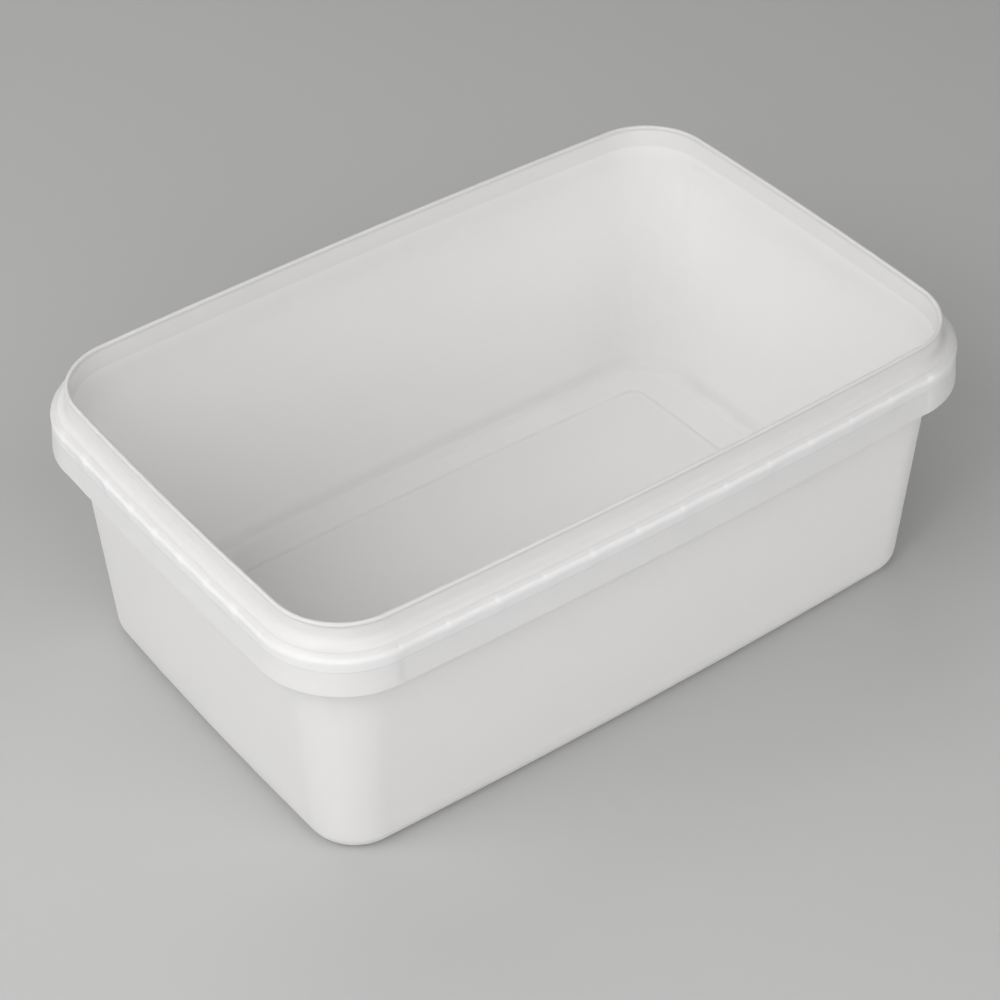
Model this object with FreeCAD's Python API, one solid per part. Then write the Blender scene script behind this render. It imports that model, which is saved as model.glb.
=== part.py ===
"""Open rectangular ice cream tub, injection moulded in one piece.

The tub is one solid: a drafted wall that turns into the floor over a rounded foot, a raised panel in
the floor, and a rim. The rim has a beaded lip that a lid snaps over, a ledge, a two-tier skirt that
hangs outside the wall, and a row of thin ribs that tie the skirt to the wall.

Frame: millimetres, +Z up, X along the tub, Y across it. The origin is on the ground under the middle.

Every level of the tub is the same outline of eight tangent arcs, moved in or out by an offset. The
outline is drawn over the bead, so offset 0 is the outside of the bead and negative offsets lie inside.
One section in offset and height is turned about the centre of each of the eight arcs.
"""
import FreeCAD, Part
import os
from math import acos, atan2, cos, degrees, hypot, radians, sin, sqrt, tan

# Overall sizes
RIM_LENGTH = 262.0          # over the bead, at the middle of the short sides
RIM_WIDTH = 168.4           # over the bead, at the middle of the long sides
HEIGHT = 105.0
CORNER_RADIUS = 25.0        # of the bead, in plan
LONG_SIDE_BOW = 2.7         # how far the middle of a long side swells out
SHORT_SIDE_BOW = 2.0

# Wall and floor
WALL = 1.05
WALL_INSET = 0.5            # wall's outer face inside the bead, at the top
DRAFT = 4.0                 # degrees from upright
FLOOR = 1.1
FOOT_RADIUS = 6.0           # outside round between wall and floor
FOOT_INNER_RADIUS = 4.5
END_MARGIN = 15.9           # wall's outer face to the raised panel, at the short sides
SIDE_MARGIN = 12.9          # the same, at the long sides
PANEL_RISE = 0.9
PANEL_CORNER = 7.0

# Lip and ledge
LIP_INSET = 0.45            # lip's outer face inside the bead
LEDGE_DROP = 8.1            # ledge below the top of the bead
LEDGE_WALL = 1.2
LIP_FILLET = 2.8
SHOULDER_RADIUS = 2.8
LEDGE_FLAT = 0.2            # least level stretch between the two rounds
LEAST_ROUND = 0.3

# Skirt
SKIRT_REACH = 5.6           # skirt's outer face beyond the bead
SKIRT_DROP = 23.4           # skirt's lower edge below the top of the bead
SKIRT_WALL = 1.2
SKIRT_FLARE = 0.75          # how far the lower tier opens out towards its edge
TIER_DROP = 13.8            # line between the two tiers, below the top of the bead
TIER_RECESS = 0.35          # lower tier of a side, behind the same tier at the corners
EDGE_ROUND = 0.35           # swell of the skirt's lower edge

# Ribs under the ledge
RIB = 0.9
RIBS_LONG_SIDE = 13
RIBS_SHORT_SIDE = 9
RIB_EDGE_GAP = 2.0          # rib's lower edge above the skirt's
RIB_BITE = 0.4              # how far a rib runs into the wall, the ledge and the skirt

SLOPE = tan(radians(DRAFT))
LEDGE_Z = HEIGHT - LEDGE_DROP
TIER_Z = HEIGHT - TIER_DROP
SKIRT_Z = HEIGHT - SKIRT_DROP
UNDER_LEDGE_Z = LEDGE_Z - LEDGE_WALL
SKIRT_INSIDE = SKIRT_REACH - SKIRT_WALL

# The two rounds of the ledge share its width between them
ROOM_FOR_ROUND = (SKIRT_REACH + LIP_INSET - LEDGE_FLAT) / 2
FILLET = min(LIP_FILLET, ROOM_FOR_ROUND)
SHOULDER = min(SHOULDER_RADIUS, ROOM_FOR_ROUND)
INNER_SHOULDER = max(SHOULDER - SKIRT_WALL, LEAST_ROUND)

UP = FreeCAD.Vector(0, 0, 1)
CENTRE = FreeCAD.Vector(0, 0, 0)


def wall_outside(z):
    """Offset of the wall's outer face at height z."""
    return -WALL_INSET - (HEIGHT - z) * SLOPE


def wall_inside(z):
    """Offset of the wall's inner face at height z."""
    return wall_outside(z) - WALL / cos(radians(DRAFT))


def on_circle(centre, radius, angle):
    """Point of a circle at an angle in degrees."""
    return (centre[0] + radius * cos(radians(angle)), centre[1] + radius * sin(radians(angle)))


class Outline:
    """Rounded rectangle with bowed sides: four side arcs and four corner arcs, all tangent."""

    def __init__(self, length, width, corner, long_bow, short_bow):
        half_x = length / 2
        half_y = width / 2
        long_radius = (half_x ** 2 + long_bow ** 2) / (2 * long_bow)
        short_radius = (half_y ** 2 + short_bow ** 2) / (2 * short_bow)
        long_y = half_y - long_radius
        short_x = half_x - short_radius

        # The corner's centre, seen from the centres of the two side arcs that it touches
        to_long = long_radius - corner
        to_short = short_radius - corner
        between = hypot(short_x, long_y)
        along = (to_long ** 2 - to_short ** 2 + between ** 2) / (2 * between)
        aside = sqrt(to_long ** 2 - along ** 2)
        ux = short_x / between
        uy = -long_y / between
        x = along * ux + aside * uy
        y = long_y + along * uy - aside * ux

        lean_long = degrees(atan2(x, y - long_y))
        lean_short = degrees(atan2(y, x - short_x))
        turn = 90.0 - lean_long - lean_short
        # Centre, radius, first angle and sweep of each arc, anticlockwise
        self.long_sides = [
            (0.0, long_y, long_radius, 90.0 - lean_long, 2 * lean_long),
            (0.0, -long_y, long_radius, 270.0 - lean_long, 2 * lean_long),
        ]
        self.short_sides = [
            (short_x, 0.0, short_radius, -lean_short, 2 * lean_short),
            (-short_x, 0.0, short_radius, 180.0 - lean_short, 2 * lean_short),
        ]
        self.corners = [
            (x, y, corner, lean_short, turn),
            (-x, y, corner, 90.0 + lean_long, turn),
            (-x, -y, corner, 180.0 + lean_short, turn),
            (x, -y, corner, 270.0 + lean_long, turn),
        ]

    def arcs(self):
        """The eight arcs in order round the outline."""
        return [
            self.short_sides[0], self.corners[0], self.long_sides[0], self.corners[1],
            self.short_sides[1], self.corners[2], self.long_sides[1], self.corners[3],
        ]

    def slab(self, offset, bottom, top):
        """Upright block of the outline moved by an offset."""
        edges = []
        for x, y, radius, start, sweep in self.arcs():
            circle = Part.Circle(FreeCAD.Vector(x, y, bottom), UP, radius + offset)
            edges.append(Part.ArcOfCircle(circle, radians(start), radians(start + sweep)).toShape())
        face = Part.Face(Part.Wire(edges))
        return face.extrude(FreeCAD.Vector(0, 0, top - bottom))


class Section:
    """Closed line of straight and round stretches in offset and height."""

    def __init__(self, offset, z):
        self.points = [(offset, z)]
        self.middles = {}

    def line(self, offset, z):
        self.points.append((offset, z))

    def arc(self, middle, end):
        self.middles[len(self.points)] = middle
        self.points.append(end)

    def face(self, radius):
        """The section drawn upright along +X, with offset 0 at the radius."""
        def place(point):
            return FreeCAD.Vector(radius + point[0], 0, point[1])

        edges = []
        ring = self.points + [self.points[0]]
        for i in range(1, len(ring)):
            start = place(ring[i - 1])
            end = place(ring[i])
            if i in self.middles:
                edges.append(Part.Arc(start, place(self.middles[i]), end).toShape())
            else:
                edges.append(Part.LineSegment(start, end).toShape())
        return Part.Face(Part.Wire(edges))

    def turned(self, arc):
        """The section swept along one arc of the outline."""
        x, y, radius, start, sweep = arc
        face = self.face(radius)
        face.rotate(CENTRE, UP, start)
        body = face.revolve(CENTRE, UP, sweep)
        body.translate(FreeCAD.Vector(x, y, 0))
        return body

    def plate(self, arc, angle, thickness):
        """The section as a flat plate that stands square to an arc of the outline."""
        x, y, radius = arc[:3]
        face = self.face(radius)
        face.translate(FreeCAD.Vector(0, -thickness / 2, 0))
        body = face.extrude(FreeCAD.Vector(0, thickness, 0))
        body.rotate(CENTRE, UP, angle)
        body.translate(FreeCAD.Vector(x, y, 0))
        return body


def foot_arc(face_offset, floor_z, radius):
    """Round between a level floor and a drafted face: its wall end, middle and floor end."""
    draft = radians(DRAFT)
    up_wall = (floor_z + radius * (1 - sin(draft))) / cos(draft)
    centre = (face_offset(0) + up_wall * sin(draft) - radius * cos(draft), floor_z + radius)
    wall_end = on_circle(centre, radius, -DRAFT)
    middle = on_circle(centre, radius, -(DRAFT + 90) / 2)
    return wall_end, middle, (centre[0], floor_z)


def tub_section():
    """Wall, foot, edge of the floor and rim. Returns the section and the offset where it ends."""
    inner_wall, inner_middle, inner_floor = foot_arc(wall_inside, FLOOR, FOOT_INNER_RADIUS)
    outer_wall, outer_middle, outer_floor = foot_arc(wall_outside, 0.0, FOOT_RADIUS)
    floor_end = min(inner_floor[0], outer_floor[0]) - WALL

    bead = -wall_inside(HEIGHT) / 2
    bead_centre = (-bead, HEIGHT - bead)
    crease_angle = degrees(acos((bead - LIP_INSET) / bead))
    crease = on_circle(bead_centre, bead, -crease_angle)

    fillet_centre = (FILLET - LIP_INSET, LEDGE_Z + FILLET)
    shoulder_centre = (SKIRT_REACH - SHOULDER, LEDGE_Z - SHOULDER)
    inner_centre = (SKIRT_INSIDE - INNER_SHOULDER, UNDER_LEDGE_Z - INNER_SHOULDER)
    edge = SKIRT_REACH + SKIRT_FLARE

    section = Section(floor_end, FLOOR)
    section.line(*inner_floor)
    section.arc(inner_middle, inner_wall)
    section.line(wall_inside(bead_centre[1]), bead_centre[1])
    section.arc((-bead, HEIGHT), (0.0, bead_centre[1]))
    section.arc(on_circle(bead_centre, bead, -crease_angle / 2), crease)
    section.line(-LIP_INSET, fillet_centre[1])
    section.arc(on_circle(fillet_centre, FILLET, -135), (fillet_centre[0], LEDGE_Z))
    section.line(shoulder_centre[0], LEDGE_Z)
    section.arc(on_circle(shoulder_centre, SHOULDER, 45), (SKIRT_REACH, shoulder_centre[1]))
    section.line(SKIRT_REACH, TIER_Z)
    section.line(edge, SKIRT_Z + EDGE_ROUND)
    section.arc((edge - SKIRT_WALL / 2, SKIRT_Z), (edge - SKIRT_WALL, SKIRT_Z + EDGE_ROUND))
    section.line(SKIRT_INSIDE, TIER_Z)
    section.line(SKIRT_INSIDE, inner_centre[1])
    section.arc(on_circle(inner_centre, INNER_SHOULDER, 45), (inner_centre[0], UNDER_LEDGE_Z))
    section.line(wall_outside(UNDER_LEDGE_Z), UNDER_LEDGE_Z)
    section.line(*outer_wall)
    section.arc(outer_middle, outer_floor)
    section.line(floor_end, 0.0)
    return section, floor_end


def recess_section():
    """What is taken off the lower tier between the corners."""
    beyond = SKIRT_REACH + SKIRT_FLARE + SKIRT_WALL
    edge = SKIRT_REACH + SKIRT_FLARE - TIER_RECESS
    section = Section(SKIRT_REACH - TIER_RECESS, TIER_Z)
    section.line(beyond, TIER_Z)
    section.line(beyond, SKIRT_Z - EDGE_ROUND)
    section.line(edge, SKIRT_Z - EDGE_ROUND)
    section.line(edge, SKIRT_Z + EDGE_ROUND)
    return section


def rib_section():
    """A rib fills the gap between wall and skirt, and bites into both and into the ledge."""
    bottom = SKIRT_Z + RIB_EDGE_GAP
    top = UNDER_LEDGE_Z + RIB_BITE
    opened = SKIRT_FLARE * (TIER_Z - bottom) / (TIER_Z - SKIRT_Z)
    inner_centre = (SKIRT_INSIDE - INNER_SHOULDER, UNDER_LEDGE_Z - INNER_SHOULDER)
    reach = INNER_SHOULDER + RIB_BITE
    section = Section(wall_outside(top) - RIB_BITE, top)
    section.line(inner_centre[0], top)
    section.arc(on_circle(inner_centre, reach, 45), (SKIRT_INSIDE + RIB_BITE, inner_centre[1]))
    section.line(SKIRT_INSIDE + RIB_BITE, TIER_Z)
    section.line(SKIRT_INSIDE + RIB_BITE + opened, bottom)
    section.line(wall_outside(bottom) - RIB_BITE, bottom)
    return section


def ribs(sides, count):
    """Ribs spread evenly from end to end of each side."""
    section = rib_section()
    plates = []
    for side in sides:
        start, sweep = side[3:]
        for i in range(count):
            plates.append(section.plate(side, start + sweep * i / (count - 1), RIB))
    return plates


def chamfered_panel(offset, bottom, top):
    """Block of the raised panel's outline, with its upper edge sloped over the panel's rise."""
    foot_length = RIM_LENGTH + 2 * wall_outside(0)
    foot_width = RIM_WIDTH + 2 * wall_outside(0)
    length = foot_length - 2 * END_MARGIN
    width = foot_width - 2 * SIDE_MARGIN
    long_bow = LONG_SIDE_BOW * (length / RIM_LENGTH) ** 2
    short_bow = SHORT_SIDE_BOW * (width / RIM_WIDTH) ** 2
    block = Outline(length, width, PANEL_CORNER, long_bow, short_bow).slab(offset, bottom, top)
    rim = [edge for edge in block.Edges if edge.BoundBox.ZMin > top - PANEL_RISE / 2]
    return block.makeChamfer(PANEL_RISE, rim)


def tub():
    outline = Outline(RIM_LENGTH, RIM_WIDTH, CORNER_RADIUS, LONG_SIDE_BOW, SHORT_SIDE_BOW)
    section, floor_end = tub_section()
    stretches = [section.turned(arc) for arc in outline.arcs()]
    floor = outline.slab(floor_end, 0.0, FLOOR)
    shell = floor.multiFuse(stretches)

    sides = outline.long_sides + outline.short_sides
    recess = recess_section()
    shell = shell.cut([recess.turned(side) for side in sides])

    raised = chamfered_panel(0.0, FLOOR / 2, FLOOR + PANEL_RISE)
    hollow = chamfered_panel(-FLOOR / 2, -FLOOR, PANEL_RISE)
    plates = ribs(outline.long_sides, RIBS_LONG_SIDE) + ribs(outline.short_sides, RIBS_SHORT_SIDE)
    body = shell.multiFuse([raised] + plates).cut(hollow)
    return body.removeSplitter()


os.makedirs("parts", exist_ok=True)
tub_body = tub()
if len(tub_body.Solids) != 1 or not tub_body.isValid():
    raise RuntimeError("the tub did not come out as one sound solid")
tub_body.Solids[0].exportStep("parts/tub.step")
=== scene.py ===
"""Ice cream tub: an open rectangular tub moulded in one piece from milky white polypropylene.

The shell is one section in offset and height, carried round the tub's outline of eight tangent arcs.
Ribs stand between its wall and its skirt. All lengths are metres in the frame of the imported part.
"""
from math import acos, atan2, cos, exp, hypot, pi, radians, sin, sqrt, tan

import bmesh
import bpy
from bpy.props import FloatProperty, FloatVectorProperty, IntProperty, PointerProperty
from mathutils import Matrix, Vector, noise


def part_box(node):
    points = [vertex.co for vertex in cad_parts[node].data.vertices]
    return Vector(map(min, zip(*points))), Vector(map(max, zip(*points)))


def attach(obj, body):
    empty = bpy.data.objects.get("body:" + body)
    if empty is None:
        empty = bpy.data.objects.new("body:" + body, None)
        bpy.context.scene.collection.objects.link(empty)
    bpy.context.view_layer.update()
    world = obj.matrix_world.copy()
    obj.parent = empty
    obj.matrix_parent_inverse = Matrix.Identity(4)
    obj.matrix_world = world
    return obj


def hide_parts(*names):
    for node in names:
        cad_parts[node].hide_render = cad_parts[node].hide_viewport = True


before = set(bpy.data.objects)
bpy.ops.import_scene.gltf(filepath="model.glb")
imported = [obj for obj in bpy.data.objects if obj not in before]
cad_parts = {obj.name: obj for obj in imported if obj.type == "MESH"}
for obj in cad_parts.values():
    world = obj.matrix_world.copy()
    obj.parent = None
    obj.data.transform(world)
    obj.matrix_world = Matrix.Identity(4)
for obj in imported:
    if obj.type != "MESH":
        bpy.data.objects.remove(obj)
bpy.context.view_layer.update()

bl_info = {
    "name": "Ice Cream Tub",
    "version": (1, 0, 0),
    "blender": (4, 5, 0),
    "location": "View3D > Sidebar > Ice Cream Tub",
    "description": "Open rectangular tub with a beaded lip, a two-tier skirt and ribs",
    "category": "Add Mesh",
}

LOW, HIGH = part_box("tub")
MM = 0.001
MERGE = 0.002 * MM
HAIR = 0.01 * MM

# Dimples over the ribs, and the painted glints on them
GLINT = 1.2 * MM
SHOULDER_MIDDLE = 1.3 * MM
SHOULDER_SPREAD = 0.9 * MM

# Stage
FLOOR_SIZE = 4
FLOOR_GAP = 0.05 * MM
LAMP_DISTANCE = 1.3
LAMP_SIZE = 1.2
CAMERA_TARGET = Vector((-12.2, -10.4, 52.4)) * MM


def length(name, description, default):
    return FloatProperty(name=name, description=description, default=default, unit="LENGTH")


class TubSizes(bpy.types.PropertyGroup):
    """Sizes of the tub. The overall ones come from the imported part."""

    box_length: length("Length", "Over the skirt, along X", HIGH.x - LOW.x)
    box_width: length("Width", "Over the skirt, along Y", HIGH.y - LOW.y)
    height: length("Height", "From the ground to the top of the bead", HIGH.z - LOW.z)
    corner: length("Corner radius", "Of the bead, seen from above", 25 * MM)
    long_bow: length("Long side bow", "Swell of a long side at its middle", 2.7 * MM)
    short_bow: length("Short side bow", "Swell of a short side at its middle", 2.0 * MM)
    wall: length("Wall", "Thickness of the wall", 1.05 * MM)
    wall_inset: length("Wall inset", "Wall's outer face inside the bead", 0.5 * MM)
    draft: FloatProperty(name="Draft", description="Lean of the wall", default=radians(4), subtype="ANGLE")
    floor: length("Floor", "Thickness of the floor", 1.1 * MM)
    foot: length("Foot radius", "Outside round between wall and floor", 6 * MM)
    foot_inside: length("Inner foot radius", "Inside round between wall and floor", 4.5 * MM)
    end_margin: length("End margin", "Wall to raised panel, short sides", 15.9 * MM)
    side_margin: length("Side margin", "Wall to raised panel, long sides", 12.9 * MM)
    panel_rise: length("Panel rise", "Height of the raised panel", 0.9 * MM)
    panel_slope: FloatProperty(
        name="Panel slope", description="Steepest part of the panel's edge",
        default=radians(32), subtype="ANGLE")
    panel_corner: length("Panel corner", "Corner radius of the raised panel", 7 * MM)
    lip_inset: length("Lip inset", "Lip's outer face inside the bead", 0.45 * MM)
    ledge_drop: length("Ledge drop", "Ledge below the bead's top", 8.1 * MM)
    ledge_wall: length("Ledge wall", "Thickness of the ledge", 1.2 * MM)
    lip_fillet: length("Lip fillet", "Round between lip and ledge", 2.8 * MM)
    shoulder: length("Shoulder", "Round between ledge and skirt", 2.8 * MM)
    spread: length("Skirt spread", "Skirt's edge beyond the bead, amid a side", 6 * MM)
    reach: length("Skirt reach", "Skirt's outer face beyond the bead", 5.6 * MM)
    skirt_drop: length("Skirt drop", "Skirt's edge below the bead's top", 23.4 * MM)
    skirt_wall: length("Skirt wall", "Thickness of the skirt", 1.2 * MM)
    flare: length("Skirt flare", "How far the lower tier opens out", 0.75 * MM)
    tier_drop: length("Tier drop", "Line between the tiers below the bead's top", 13.8 * MM)
    tier_step: length("Tier step", "Height over which the lower tier sets back", 0.45 * MM)
    recess: length("Tier recess", "Lower tier set back between the corners", 0.13 * MM)
    edge_round: length("Edge round", "Swell of the skirt's lower edge", 0.35 * MM)
    rib: length("Rib", "Thickness of a rib", 0.9 * MM)
    rib_gap: length("Rib gap", "Rib's lower edge above the skirt's", 2 * MM)
    rib_bite: length("Rib bite", "How far a rib runs into its neighbours", 0.4 * MM)
    ribs_long: IntProperty(name="Ribs, long side", description="Number on each long side", default=13)
    ribs_short: IntProperty(name="Ribs, short side", description="Number on each short side", default=9)
    long_sag: length("Long sag", "How far a long side's skirt falls in between two ribs", 0.26 * MM)
    short_sag: length("Short sag", "How far a short side's skirt falls in between two ribs", 0.42 * MM)
    sink: length("Sink", "Depth of the dimple over a rib", 0.3 * MM)


class TubFinish(bpy.types.PropertyGroup):
    """Colour and gloss of the plastic, with the painted shade, painted light and painted glints in its
    colour.
    """

    plastic: FloatVectorProperty(
        name="Plastic", description="Colour of the milky plastic", subtype="COLOR",
        size=3, default=(0.80, 0.792, 0.784), min=0, max=1)
    scatter: length("Scatter", "How far light travels in the plastic", 2.2 * MM)
    wall_roughness: FloatProperty(name="Wall roughness", description="Satin of the walls", default=0.45)
    # Painted shade and painted light: how far each part of the plastic is painted darker or lighter
    depth: FloatProperty(
        name="Shade depth", description="How much darker the darkest plastic is", default=0.3)
    lip_shade: FloatProperty(name="Lip shade", description="Shade of the thin lip", default=0.27)
    bead_shade: FloatProperty(
        name="Bead shade", description="Shade of the bead over the lip's", default=0.42)
    foot_shade: FloatProperty(name="Foot shade", description="Shade inside the foot", default=0.2)
    plain_shade: FloatProperty(name="Plain shade", description="Shade of the walls", default=0.3)
    lower_shade: FloatProperty(
        name="Lower shade", description="Shade of the skirt's lower tier", default=0.08)
    upper_glow: FloatProperty(name="Upper glow", description="Glow of the skirt's upper tier", default=0.3)
    round_shade: FloatProperty(
        name="Round shade", description="Shade of the round over the skirt", default=0.4)
    strip_glow: FloatProperty(
        name="Strip glow", description="Glow of the floor round the panel", default=0.17)
    # Painted glint over each rib: its near-white colour and how strongly it is painted in
    glint_colour: FloatVectorProperty(
        name="Thick plastic", description="Colour of the thick plastic over a rib", subtype="COLOR",
        size=3, default=(0.98, 0.975, 0.965), min=0, max=1)
    glint_strength: FloatProperty(
        name="Rib glow", description="Whiteness of the thick plastic over a rib", default=0.65)
    gleam: FloatProperty(name="Gleam", description="Level of the surface's reflection", default=0.3)
    rim_roughness: FloatProperty(name="Rim roughness", description="Gloss of the rim", default=0.38)


class TubStage(bpy.types.PropertyGroup):
    """Floor, light and camera."""

    floor_seen: FloatVectorProperty(
        name="Floor", description="Colour of the floor as it is seen", subtype="COLOR",
        size=3, default=(0.50, 0.50, 0.495), min=0, max=1)
    floor_bounce: FloatProperty(
        name="Floor bounce", description="Light that the floor gives back", default=0.45)
    left: FloatProperty(name="Left light", description="Power of the soft light on the left", default=10.4)
    front: FloatProperty(name="Front light", description="Power of the soft light in front", default=8.2)
    camera: FloatProperty(
        name="Camera light", description="Power of the soft light by the camera", default=4.8)
    upper: FloatProperty(name="Upper light", description="Power of the soft light above", default=3.2)
    back: FloatProperty(name="Back light", description="Power of the soft light behind", default=5.0)
    world: FloatProperty(name="World", description="Strength of the even light", default=0.02)
    azimuth: FloatProperty(
        name="Azimuth", description="Camera's turn about Z", default=radians(-36.29), subtype="ANGLE")
    elevation: FloatProperty(
        name="Elevation", description="Camera's height", default=radians(40.07), subtype="ANGLE")
    roll: FloatProperty(name="Roll", description="Camera's roll", default=radians(-0.66), subtype="ANGLE")
    distance: length("Distance", "Camera to target", 910.8 * MM)
    lens: FloatProperty(name="Lens", description="Focal length in millimetres", default=97.9)


# ---------------------------------------------------------------- outline and section

class Arc:
    """Stretch of an outline: a centre, a radius, a first angle and a sweep, in radians."""

    def __init__(self, side, x, y, radius, start, sweep):
        self.side = side
        self.centre = Vector((x, y, 0))
        self.radius = radius
        self.start = start
        self.sweep = sweep
        middle = start + sweep / 2
        self.facing = Vector((cos(middle), sin(middle), 0))

    def share(self, point):
        """Where a point lies along the arc: 0 at its start, 1 at its end."""
        angle = atan2(point.y - self.centre.y, point.x - self.centre.x)
        return ((angle - self.start + pi) % (2 * pi) - pi) / self.sweep

    def outward(self, point):
        """Level direction away from the arc's centre."""
        return (point - self.centre).to_2d().normalized().to_3d()


class Outline:
    """Rounded rectangle with bowed sides: four side arcs and four corner arcs, all tangent."""

    def __init__(self, length, width, corner, long_bow, short_bow):
        half_x = length / 2
        half_y = width / 2
        long_radius = (half_x ** 2 + long_bow ** 2) / (2 * long_bow)
        short_radius = (half_y ** 2 + short_bow ** 2) / (2 * short_bow)
        long_y = half_y - long_radius
        short_x = half_x - short_radius

        # The corner's centre, seen from the centres of the two side arcs that it touches
        to_long = long_radius - corner
        to_short = short_radius - corner
        between = hypot(short_x, long_y)
        along = (to_long ** 2 - to_short ** 2 + between ** 2) / (2 * between)
        aside = sqrt(to_long ** 2 - along ** 2)
        x = (along * short_x - aside * long_y) / between
        y = long_y - (along * long_y + aside * short_x) / between

        lean_long = atan2(x, y - long_y)
        lean_short = atan2(y, x - short_x)
        turn = pi / 2 - lean_long - lean_short
        self.arcs = [
            Arc("short", short_x, 0, short_radius, -lean_short, 2 * lean_short),
            Arc("corner", x, y, corner, lean_short, turn),
            Arc("long", 0, long_y, long_radius, pi / 2 - lean_long, 2 * lean_long),
            Arc("corner", -x, y, corner, pi / 2 + lean_long, turn),
            Arc("short", -short_x, 0, short_radius, pi - lean_short, 2 * lean_short),
            Arc("corner", -x, -y, corner, pi + lean_short, turn),
            Arc("long", 0, -long_y, long_radius, 3 * pi / 2 - lean_long, 2 * lean_long),
            Arc("corner", x, -y, corner, 3 * pi / 2 + lean_long, turn),
        ]

    def at(self, point):
        """The arc whose stretch holds a point."""
        near = [arc for arc in self.arcs if arc.facing.dot(point) > 0]
        return min(near, key=lambda arc: abs(arc.share(point) - 0.5))


def layer(bm, name):
    """A number that every vertex carries."""
    return bm.verts.layers.float.get(name) or bm.verts.layers.float.new(name)


class Pen:
    """Draws a section as a wire, with offset along X and height along Z."""

    EASE = 0.35 * MM
    SHORT_RUN = 0.3

    def __init__(self, bm, offset, z):
        self.bm = bm
        self.follow = layer(bm, "follow")
        self.recess = layer(bm, "recess")
        self.tip = bm.verts.new((offset, 0, z))
        self.marks = (0.0, 0.0)

    def mark(self, follow, recess):
        """How much the points drawn from here on follow the skirt's relief and its recess."""
        self.marks = (follow, recess)

    def step(self, offset, z):
        """One straight step."""
        spun = bmesh.ops.extrude_vert_indiv(self.bm, verts=[self.tip])
        self.tip = spun["verts"][0]
        self.tip.co = (offset, 0, z)
        self.add([self.tip])

    def add(self, verts):
        """Gives new points the weights in use."""
        for vert in verts:
            vert[self.follow], vert[self.recess] = self.marks

    def line(self, offset, z, steps=1):
        """Straight stretch, with a short first and last step that keep a round's shading to the round."""
        start = self.tip.co.copy()
        run = Vector((offset, 0, z)) - start
        ease = self.EASE / run.length
        shares = [i / steps for i in range(1, steps + 1)]
        if ease * steps < self.SHORT_RUN:
            shares = [ease] + shares[:-1] + [1 - ease, 1]
        for share in shares:
            point = start + run * share
            self.step(point.x, point.z)

    def arc(self, centre, sweep, steps):
        """Round stretch about a centre, anticlockwise for a positive sweep."""
        known = set(self.bm.verts)
        spun = bmesh.ops.spin(
            self.bm, geom=[self.tip], cent=(centre[0], 0, centre[1]), axis=(0, -1, 0),
            angle=sweep, steps=steps, use_merge=False, use_duplicate=False)
        new = [v for v in self.bm.verts if v not in known]
        new.sort(key=lambda v: v.index)
        self.add(new)
        self.tip = [g for g in spun["geom_last"] if isinstance(g, bmesh.types.BMVert)][0]


CORNER_STEPS = 20
# Where one pitch between two ribs is cut, closer together beside the ribs
PITCH_STEPS = (0.01, 0.045, 0.09, 0.17, 0.31, 0.5, 0.69, 0.83, 0.91, 0.955, 0.99, 1.0)


def place_at_start(bm, arc):
    """Moves what was drawn in the XZ plane to the start of an arc."""
    bmesh.ops.translate(bm, verts=bm.verts, vec=arc.centre + Vector((arc.radius, 0, 0)))
    bmesh.ops.rotate(bm, verts=bm.verts, cent=arc.centre, matrix=Matrix.Rotation(arc.start, 3, "Z"))


def spin_about(bm, geom, centre, angle, steps, copies=False):
    """Turns geometry about an upright axis, as a sweep or as copies, and returns its last place."""
    return bmesh.ops.spin(
        bm, geom=geom, cent=centre, axis=(0, 0, 1), angle=angle, steps=steps,
        use_merge=False, use_duplicate=copies)["geom_last"]


def stretch(draw, arc, pitches):
    """A drawn section swept along one arc. A side is one pitch between two ribs, repeated."""
    bm = bmesh.new()
    draw(bm)
    place_at_start(bm, arc)
    wire = bm.verts[:] + bm.edges[:]
    if not pitches:
        spin_about(bm, wire, arc.centre, arc.sweep, CORNER_STEPS)
        return bm
    pitch = arc.sweep / pitches
    last = 0
    for share in PITCH_STEPS:
        wire = spin_about(bm, wire, arc.centre, pitch * (share - last), 1)
        last = share
    bay = bm.verts[:] + bm.edges[:] + bm.faces[:]
    spin_about(bm, bay, arc.centre, arc.sweep - pitch, pitches - 1, copies=True)
    return bm


def carry_round(bm, draw, outline, s):
    """Sweeps a section along half of the outline's arcs and turns a copy of that half to close the ring."""
    pitches = {"corner": 0, "long": s.ribs_long - 1, "short": s.ribs_short - 1}
    ring = bmesh.new()
    for arc in outline.arcs[:4]:
        part = stretch(draw, arc, pitches[arc.side])
        add_to(ring, part)
    whole = ring.verts[:] + ring.edges[:] + ring.faces[:]
    spin_about(ring, whole, (0, 0, 0), pi, 1, copies=True)
    bmesh.ops.remove_doubles(ring, verts=ring.verts, dist=MERGE)
    add_to(bm, ring)


def add_to(bm, part):
    """Adds a bmesh to another one and frees it."""
    mesh = bpy.data.meshes.new("part")
    part.to_mesh(mesh)
    part.free()
    bm.from_mesh(mesh)
    bpy.data.meshes.remove(mesh)


def rim_outline(s):
    """Outline over the bead, where the offset is 0."""
    return Outline(
        s.box_length - 2 * s.spread, s.box_width - 2 * s.spread, s.corner, s.long_bow, s.short_bow)


def panel_outline(s):
    """Edge of the raised panel in the floor."""
    rim_length = s.box_length - 2 * s.spread
    rim_width = s.box_width - 2 * s.spread
    length = rim_length + 2 * wall_outside(s, 0) - 2 * s.end_margin
    width = rim_width + 2 * wall_outside(s, 0) - 2 * s.side_margin
    return Outline(
        length, width, s.panel_corner,
        s.long_bow * (length / rim_length) ** 2, s.short_bow * (width / rim_width) ** 2)


def wall_outside(s, z):
    """Offset of the wall's outer face at a height."""
    return -s.wall_inset - (s.height - z) * tan(s.draft)


def wall_inside(s, z):
    return wall_outside(s, z) - s.wall / cos(s.draft)


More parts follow.
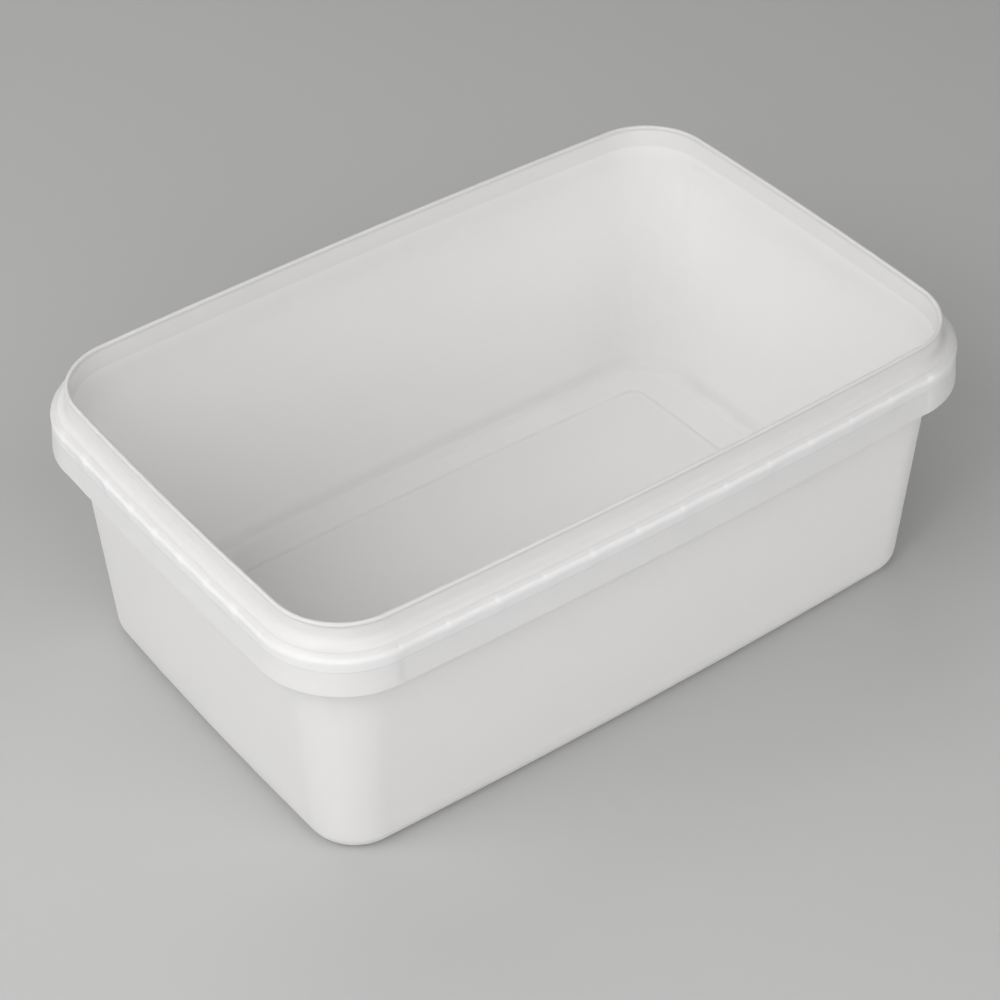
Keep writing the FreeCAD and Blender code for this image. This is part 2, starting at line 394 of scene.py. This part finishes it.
def foot_centre(s, face_offset, floor_z, radius):
    """Centre of the round between a level floor and a drafted face."""
    up_wall = (floor_z + radius * (1 - sin(s.draft))) / cos(s.draft)
    return (face_offset(s, 0) + up_wall * sin(s.draft) - radius * cos(s.draft), floor_z + radius)


def draw_section(bm, s):
    """The tub's section from the edge of the floor, up inside, over the rim and down outside."""
    right = pi / 2
    inner_foot = foot_centre(s, wall_inside, s.floor, s.foot_inside)
    outer_foot = foot_centre(s, wall_outside, 0, s.foot)
    floor_end = min(inner_foot[0], outer_foot[0]) - s.wall
    ledge_z = s.height - s.ledge_drop
    tier_z = s.height - s.tier_drop
    skirt_z = s.height - s.skirt_drop
    under_z = ledge_z - s.ledge_wall
    inside = s.reach - s.skirt_wall
    inner_shoulder = s.shoulder - s.skirt_wall
    bead = -wall_inside(s, s.height) / 2
    bead_z = s.height - bead
    crease = acos((bead - s.lip_inset) / bead)
    edge = s.reach + s.flare
    swell = (s.skirt_wall ** 2 / 4 + s.edge_round ** 2) / (2 * s.edge_round)
    swell_sweep = 2 * acos((swell - s.edge_round) / swell)

    pen = Pen(bm, floor_end, s.floor)
    pen.line(inner_foot[0], s.floor)
    pen.arc(inner_foot, right - s.draft, 8)
    pen.line(wall_inside(s, bead_z), bead_z, 14)
    pen.arc((-bead, bead_z), -pi, 12)
    pen.arc((-bead, bead_z), -crease, 4)
    pen.line(-s.lip_inset, ledge_z + s.lip_fillet, 3)
    pen.arc((s.lip_fillet - s.lip_inset, ledge_z + s.lip_fillet), right, 7)
    pen.mark(0.3, 0)
    pen.step(s.reach - s.shoulder, ledge_z)
    pen.mark(0.7, 0)
    pen.arc((s.reach - s.shoulder, ledge_z - s.shoulder), -right / 2, 5)
    pen.mark(1, 0)
    pen.arc((s.reach - s.shoulder, ledge_z - s.shoulder), -right / 2, 5)
    pen.line(s.reach, tier_z, 3)
    pen.mark(0.3, 1)
    pen.step(s.reach + HAIR, tier_z - s.tier_step)
    pen.line(edge, skirt_z + s.edge_round, 4)
    pen.arc((edge - s.skirt_wall / 2, skirt_z + swell), -swell_sweep, 6)
    pen.mark(0.3, 0)
    pen.line(inside, tier_z, 2)
    pen.mark(1, 0)
    pen.line(inside, under_z - inner_shoulder)
    pen.arc((inside - inner_shoulder, under_z - inner_shoulder), right, 4)
    pen.mark(0, 0)
    pen.line(wall_outside(s, under_z), under_z)
    foot_top = outer_foot[1] - s.foot * sin(s.draft)
    pen.line(wall_outside(s, foot_top), foot_top, 14)
    pen.arc(outer_foot, s.draft - right, 8)
    pen.line(floor_end, 0)


def boundary(bm, z):
    """Open edges that lie level at a height."""
    def level(vert):
        return abs(vert.co.z - z) < HAIR

    return [e for e in bm.edges if e.is_boundary and level(e.verts[0]) and level(e.verts[1])]


def add_step(bm, s, outer_z, offset, rise):
    """Rounded step of the raised panel, joined to the floor round it and filled."""
    radius = rise / (2 - 2 * cos(s.panel_slope))
    across = 2 * radius * sin(s.panel_slope)

    def draw(part):
        pen = Pen(part, offset + 2 * Pen.EASE, outer_z)
        pen.step(offset, outer_z)
        pen.arc((offset, outer_z + radius), -s.panel_slope, 5)
        pen.arc((offset - across, outer_z + rise - radius), s.panel_slope, 5)
        pen.step(offset - across - 2 * Pen.EASE, outer_z + rise)

    carry_round(bm, draw, panel_outline(s), s)
    for level in (outer_z, outer_z + rise):
        bmesh.ops.triangle_fill(bm, edges=boundary(bm, level), use_beauty=True)


def hump(distance, width):
    """1 at no distance, falling softly to 0 over a few widths."""
    return exp(-(distance / width) ** 2)


def shape_relief(bm, s, outline):
    """Sets the lower tier back between the corners, and lets the skirt fall in between the ribs."""
    rib_glint = layer(bm, "rib_glint")
    follow = layer(bm, "follow")
    recess = layer(bm, "recess")
    pitches = {"long": s.ribs_long - 1, "short": s.ribs_short - 1}
    sag = {"long": s.long_sag, "short": s.short_sag}
    fade = {"long": s.tier_step, "short": s.corner / 2}
    shoulder_z = s.height - s.ledge_drop - SHOULDER_MIDDLE
    for vert in bm.verts:
        if not vert[follow]:
            continue
        arc = outline.at(vert.co)
        if arc.side == "corner":
            continue
        side_length = arc.radius * arc.sweep
        along = min(max(arc.share(vert.co), 0), 1)
        place = along * pitches[arc.side]
        bay = int(place)

        within = place - bay
        uneven = 1 + 0.5 * noise.noise(Vector((bay * 1.7, arc.start * 5, 0)))
        inward = sag[arc.side] * 4 * within * (1 - within) * uneven * vert[follow]

        end_distance = min(along, 1 - along) * side_length
        inward += vert[recess] * s.recess * min(end_distance / fade[arc.side], 1)

        # The outer skin dips over a rib; the weight set below marks where a painted glint goes on it
        rib_distance = (place - round(place)) * side_length / pitches[arc.side]
        near = hump(rib_distance, GLINT) * (vert[follow] > 0.6)
        shoulder = hump(vert.co.z - shoulder_z, SHOULDER_SPREAD)
        inward += s.sink * near * shoulder
        if arc.side == "long":
            vert[rib_glint] = (near * shoulder) ** 2.5
        else:
            vert[rib_glint] = 0.5 * near ** 0.6 * shoulder
        vert.co -= arc.outward(vert.co) * inward


def rib_profile(s):
    """Corners of a rib, as offset and height, a bite deep in the wall, the ledge and the skirt."""
    under_z = s.height - s.ledge_drop - s.ledge_wall
    skirt_z = s.height - s.skirt_drop
    tier_z = s.height - s.tier_drop
    bottom = skirt_z + s.rib_gap
    top = under_z + s.rib_bite
    inside = s.reach - s.skirt_wall
    inner_shoulder = s.shoulder - s.skirt_wall
    opened = s.flare * (tier_z - bottom) / (tier_z - skirt_z)
    return [
        (wall_outside(s, top) - s.rib_bite, top),
        (inside - inner_shoulder, top),
        (inside + s.rib_bite, under_z - inner_shoulder),
        (inside + s.rib_bite, tier_z),
        (inside + s.rib_bite + opened, bottom),
        (wall_outside(s, bottom) - s.rib_bite, bottom),
    ]


def add_rib(bm, s, arc, angle):
    """One flat rib that stands across an arc at an angle."""
    verts = [bm.verts.new((offset, -s.rib / 2, z)) for offset, z in rib_profile(s)]
    face = bmesh.ops.contextual_create(bm, geom=verts)["faces"]
    grown = bmesh.ops.extrude_face_region(bm, geom=face, use_keep_orig=True)["geom"]
    moved = [g for g in grown if isinstance(g, bmesh.types.BMVert)]
    bmesh.ops.translate(bm, verts=moved, vec=(0, s.rib, 0))
    bmesh.ops.translate(bm, verts=verts + moved, vec=arc.centre + Vector((arc.radius, 0, 0)))
    bmesh.ops.rotate(bm, verts=verts + moved, cent=arc.centre, matrix=Matrix.Rotation(angle, 3, "Z"))


def finish_piece(bm, name, material, crease):
    """Turns a finished bmesh into a piece that rides on the tub, smooth up to the crease angle."""
    bmesh.ops.recalc_face_normals(bm, faces=bm.faces)
    for face in bm.faces:
        face.smooth = True
    for edge in bm.edges:
        edge.smooth = edge.calc_face_angle(0) < crease
    mesh = bpy.data.meshes.new(name)
    bm.to_mesh(mesh)
    bm.free()
    piece = bpy.data.objects.new(name, mesh)
    bpy.context.scene.collection.objects.link(piece)
    piece.data.materials.append(material)
    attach(piece, "root")
    return piece


# ---------------------------------------------------------------- materials

class Sock:
    """A shader socket that can be used in sums and products."""

    def __init__(self, tree, socket):
        self.tree = tree
        self.socket = socket

    def math(self, operation, *values):
        node = self.tree.nodes.new("ShaderNodeMath")
        node.operation = operation
        for socket, value in zip(node.inputs, values):
            put(self.tree, socket, value)
        return Sock(self.tree, node.outputs[0])

    def __add__(self, other):
        return self.math("ADD", self, other)

    def __sub__(self, other):
        return self.math("SUBTRACT", self, other)

    def __rsub__(self, other):
        return self.math("SUBTRACT", other, self)

    def __mul__(self, other):
        return self.math("MULTIPLY", self, other)

    def __abs__(self):
        return self.math("ABSOLUTE", self)

    def other(self, name):
        """Another output of the same node."""
        return Sock(self.tree, self.socket.node.outputs[name])

    __radd__ = __add__
    __rmul__ = __mul__


def put(tree, socket, value):
    """Links a Sock to a socket, or sets the socket to a plain value."""
    if isinstance(value, Sock):
        tree.links.new(value.socket, socket)
    else:
        socket.default_value = value


class Shader:
    """Node tree of a new material."""

    def __init__(self, name):
        self.material = bpy.data.materials.new(name)
        self.material.use_nodes = True
        self.tree = self.material.node_tree
        self.tree.nodes.clear()

    def node(self, kind, settings=None, output=0, sockets=None, **inputs):
        """A node of a type, with its settings made first and its sockets given by place or by name."""
        node = self.tree.nodes.new(kind)
        for key, value in (settings or {}).items():
            setattr(node, key, value)
        for key, value in (sockets or {}).items():
            put(self.tree, node.inputs[key], value)
        for key, value in inputs.items():
            put(self.tree, node.inputs[key.replace("_", " ")], value)
        return Sock(self.tree, node.outputs[output])

    def mix(self, factor, first, second):
        """From a first colour to a second one."""
        return self.node(
            "ShaderNodeMix", {"data_type": "RGBA"}, output=2, sockets={0: factor, 6: first, 7: second})

    def ramp(self, value, low, high):
        """0 below low, 1 above high, smooth between."""
        return self.node(
            "ShaderNodeMapRange", {"interpolation_type": "SMOOTHSTEP"},
            Value=value, From_Min=low, From_Max=high, To_Min=0.0, To_Max=1.0)

    def attribute(self, name):
        """A value that the mesh's points carry."""
        return self.node("ShaderNodeAttribute", {"attribute_name": name}, output="Fac")

    def output(self, surface):
        """Ends the tree and returns its material."""
        end = self.tree.nodes.new("ShaderNodeOutputMaterial")
        put(self.tree, end.inputs["Surface"], surface)
        return self.material


def opaque(colour):
    return (*colour, 1)


def milky_plastic(finish, s):
    """Translucent polypropylene. Its colour holds painted shade and painted light: darker lip, bead, foot,
    lower tier and skirt round, lighter upper tier and floor strip, and a painted glint over each rib.
    """
    shader = Shader("milky_plastic")
    place = shader.node("ShaderNodeTexCoord", output="Object")
    along_x = shader.node("ShaderNodeSeparateXYZ", Vector=place)
    along_y = along_x.other("Y")
    height = along_x.other("Z")

    def above(z, soft):
        """0 below a height, 1 above it."""
        return shader.ramp(height, z - soft, z + soft)

    def towards_end(coordinate, overall):
        """1 at the two rounded ends of an axis, 0 between them."""
        reach = overall / 2 - s.corner - 8 * MM
        return shader.ramp(abs(coordinate), reach - 14 * MM, reach)

    skirt_z = s.height - s.skirt_drop
    ledge_z = s.height - s.ledge_drop
    lip = above(ledge_z + 0.2 * MM, 0.5 * MM)
    bead = above(s.height - 1.4 * MM, 0.5 * MM)
    corner = towards_end(along_x, s.box_length) * towards_end(along_y, s.box_width)
    foot = above(s.floor + 1.6 * MM, 0.6 * MM) - above(s.floor + 6 * MM, 2.5 * MM)
    strip = 1 - above(s.floor + s.panel_rise / 2, s.panel_rise * 0.4)

    # The skirt's round and its two tiers, from the weights that its points carry
    follow = shader.attribute("follow")
    upper = shader.ramp(follow, 0.7, 1.0)
    lower = shader.attribute("recess")
    shoulder = upper * above(ledge_z - 1.5 * MM, 0.7 * MM) * (corner + 0.3)
    over_skirt = shader.ramp(follow, 0.3, 0.7) - upper + shoulder

    # Painted shade and painted light: a higher factor gives a darker colour. The lip, bead, foot, lower
    # tier and the round over the skirt are painted darker, and the upper tier and the floor strip round the
    # panel are painted lighter
    shade = (
        finish.plain_shade
        + lip * finish.lip_shade
        + bead * finish.bead_shade
        + foot * finish.foot_shade * (1 - corner * 0.8)
        + lower * finish.lower_shade
        + over_skirt * finish.round_shade
        - strip * finish.strip_glow
        - upper * finish.upper_glow
    )
    pale = 1 + finish.plain_shade * finish.depth
    palest = opaque(c * pale for c in finish.plastic)
    darkest = opaque(c * (pale - finish.depth) for c in finish.plastic)
    # Painted glint: over each rib on the skirt's round the colour turns towards a near-white one
    glinting = shader.attribute("rib_glint") * finish.glint_strength
    colour = shader.mix(glinting, shader.mix(shade, palest, darkest), opaque(finish.glint_colour))

    rim = above(skirt_z, 1 * MM)
    roughness = rim * (finish.rim_roughness - finish.wall_roughness) + finish.wall_roughness
    surface = shader.node(
        "ShaderNodeBsdfPrincipled", {"subsurface_method": "RANDOM_WALK"},
        Base_Color=colour, Roughness=roughness, IOR=1.49, Specular_IOR_Level=finish.gleam,
        Subsurface_Weight=1.0, Subsurface_Radius=(1.0, 1.0, 0.95), Subsurface_Scale=finish.scatter)
    return shader.output(surface)


def stage_floor(stage):
    """Pale floor. It gives back less light than it shows, so the tub keeps its own shading."""
    shader = Shader("stage_floor")
    seen = shader.node("ShaderNodeBsdfDiffuse", Color=opaque(stage.floor_seen))
    given = shader.node("ShaderNodeBsdfDiffuse", Color=opaque((stage.floor_bounce,) * 3))
    camera = shader.node("ShaderNodeLightPath", output="Is Camera Ray")
    shown = camera + camera.other("Is Glossy Ray") + camera.other("Is Transmission Ray")
    return shader.output(shader.node("ShaderNodeMixShader", sockets={0: shown, 1: given, 2: seen}))


# ---------------------------------------------------------------- operators

class TUB_OT_shell(bpy.types.Operator):
    """Adds the tub's shell: floor, wall, bead, lip, ledge and skirt"""

    bl_idname = "tub.shell"
    bl_label = "Add Shell"

    def execute(self, context):
        s = context.scene.tub_sizes
        bm = bmesh.new()
        outline = rim_outline(s)
        carry_round(bm, lambda part: draw_section(part, s), outline, s)
        add_step(bm, s, s.floor, 0, s.panel_rise)
        add_step(bm, s, 0, -s.floor / 2, s.panel_rise)
        shape_relief(bm, s, outline)
        piece = finish_piece(bm, "tub_shell", milky_plastic(context.scene.tub_finish, s), crease=0.6)
        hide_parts("tub")
        return {"FINISHED"}


class TUB_OT_ribs(bpy.types.Operator):
    """Adds the ribs between the wall and the skirt"""

    bl_idname = "tub.ribs"
    bl_label = "Add Ribs"

    def execute(self, context):
        s = context.scene.tub_sizes
        counts = {"long": s.ribs_long, "short": s.ribs_short}
        bm = bmesh.new()
        for arc in rim_outline(s).arcs:
            for i in range(counts.get(arc.side, 0)):
                add_rib(bm, s, arc, arc.start + arc.sweep * i / (counts[arc.side] - 1))
        finish_piece(bm, "skirt_ribs", bpy.data.materials["milky_plastic"], crease=0.3)
        return {"FINISHED"}


class TUB_OT_stage(bpy.types.Operator):
    """Adds the floor, the lights and the camera"""

    bl_idname = "tub.stage"
    bl_label = "Add Stage"

    def execute(self, context):
        scene = context.scene
        stage = scene.tub_stage
        bm = bmesh.new()
        bmesh.ops.create_grid(bm, x_segments=1, y_segments=1, size=FLOOR_SIZE)
        mesh = bpy.data.meshes.new("stage_floor")
        bm.to_mesh(mesh)
        bm.free()
        ground = bpy.data.objects.new("stage_floor", mesh)
        ground.location.z = LOW.z - FLOOR_GAP
        scene.collection.objects.link(ground)
        ground.data.materials.append(stage_floor(stage))

        add_lamp("left_light", 180, 35, stage.left)
        add_lamp("front_light", 280, 33, stage.front)
        add_lamp("camera_light", 225, 30, stage.camera)
        add_lamp("upper_light", 200, 60, stage.upper)
        add_lamp("back_light", 80, 48, stage.back)
        world = bpy.data.worlds.new("soft_room")
        world.use_nodes = True
        background = world.node_tree.nodes["Background"]
        background.inputs["Color"].default_value = (1, 1, 1, 1)
        background.inputs["Strength"].default_value = stage.world
        scene.world = world

        camera = bpy.data.cameras.new("camera")
        camera.lens = stage.lens
        camera.sensor_width = 36
        camera.clip_start = 0.01
        eye = bpy.data.objects.new("camera", camera)
        scene.collection.objects.link(eye)
        turn = (
            Matrix.Rotation(stage.azimuth, 4, "Z")
            @ Matrix.Rotation(pi / 2 - stage.elevation, 4, "X")
            @ Matrix.Rotation(stage.roll, 4, "Z")
        )
        back = Matrix.Translation((0, 0, stage.distance))
        eye.matrix_world = Matrix.Translation(CAMERA_TARGET) @ turn @ back
        scene.camera = eye
        scene.view_settings.view_transform = "Standard"
        return {"FINISHED"}


def add_lamp(name, azimuth, elevation, power):
    """A soft square light, seen from the tub at an azimuth and elevation in degrees."""
    lamp = bpy.data.lights.new(name, "AREA")
    lamp.size = LAMP_SIZE
    lamp.energy = power
    holder = bpy.data.objects.new(name, lamp)
    bpy.context.scene.collection.objects.link(holder)
    turn = Matrix.Rotation(radians(azimuth), 3, "Z") @ Matrix.Rotation(-radians(elevation), 3, "Y")
    toward = turn @ Vector((1, 0, 0))
    holder.location = Vector((0, 0, (LOW.z + HIGH.z) / 2)) + toward * LAMP_DISTANCE
    holder.rotation_euler = (-toward).to_track_quat("-Z", "Y").to_euler()


class TUB_PT_panel(bpy.types.Panel):
    """Buttons and sizes of the tub in the sidebar"""

    bl_idname = "TUB_PT_panel"
    bl_label = "Ice Cream Tub"
    bl_space_type = "VIEW_3D"
    bl_region_type = "UI"
    bl_category = "Ice Cream Tub"

    def draw(self, context):
        for operator in OPERATORS:
            self.layout.operator(operator.bl_idname)
        for group in (context.scene.tub_sizes, context.scene.tub_finish, context.scene.tub_stage):
            for name in group.bl_rna.properties.keys():
                if name not in ("name", "rna_type"):
                    self.layout.prop(group, name)


GROUPS = {"tub_sizes": TubSizes, "tub_finish": TubFinish, "tub_stage": TubStage}
OPERATORS = (TUB_OT_shell, TUB_OT_ribs, TUB_OT_stage)


def register():
    for cls in (*GROUPS.values(), *OPERATORS, TUB_PT_panel):
        bpy.utils.register_class(cls)
    for name, group in GROUPS.items():
        setattr(bpy.types.Scene, name, PointerProperty(type=group))


def unregister():
    for name in GROUPS:
        delattr(bpy.types.Scene, name)
    for cls in (TUB_PT_panel, *reversed(OPERATORS), *reversed(list(GROUPS.values()))):
        bpy.utils.unregister_class(cls)


def main():
    register()
    bpy.ops.tub.shell()
    bpy.ops.tub.ribs()
    bpy.ops.tub.stage()


if __name__ == "__main__":
    main()
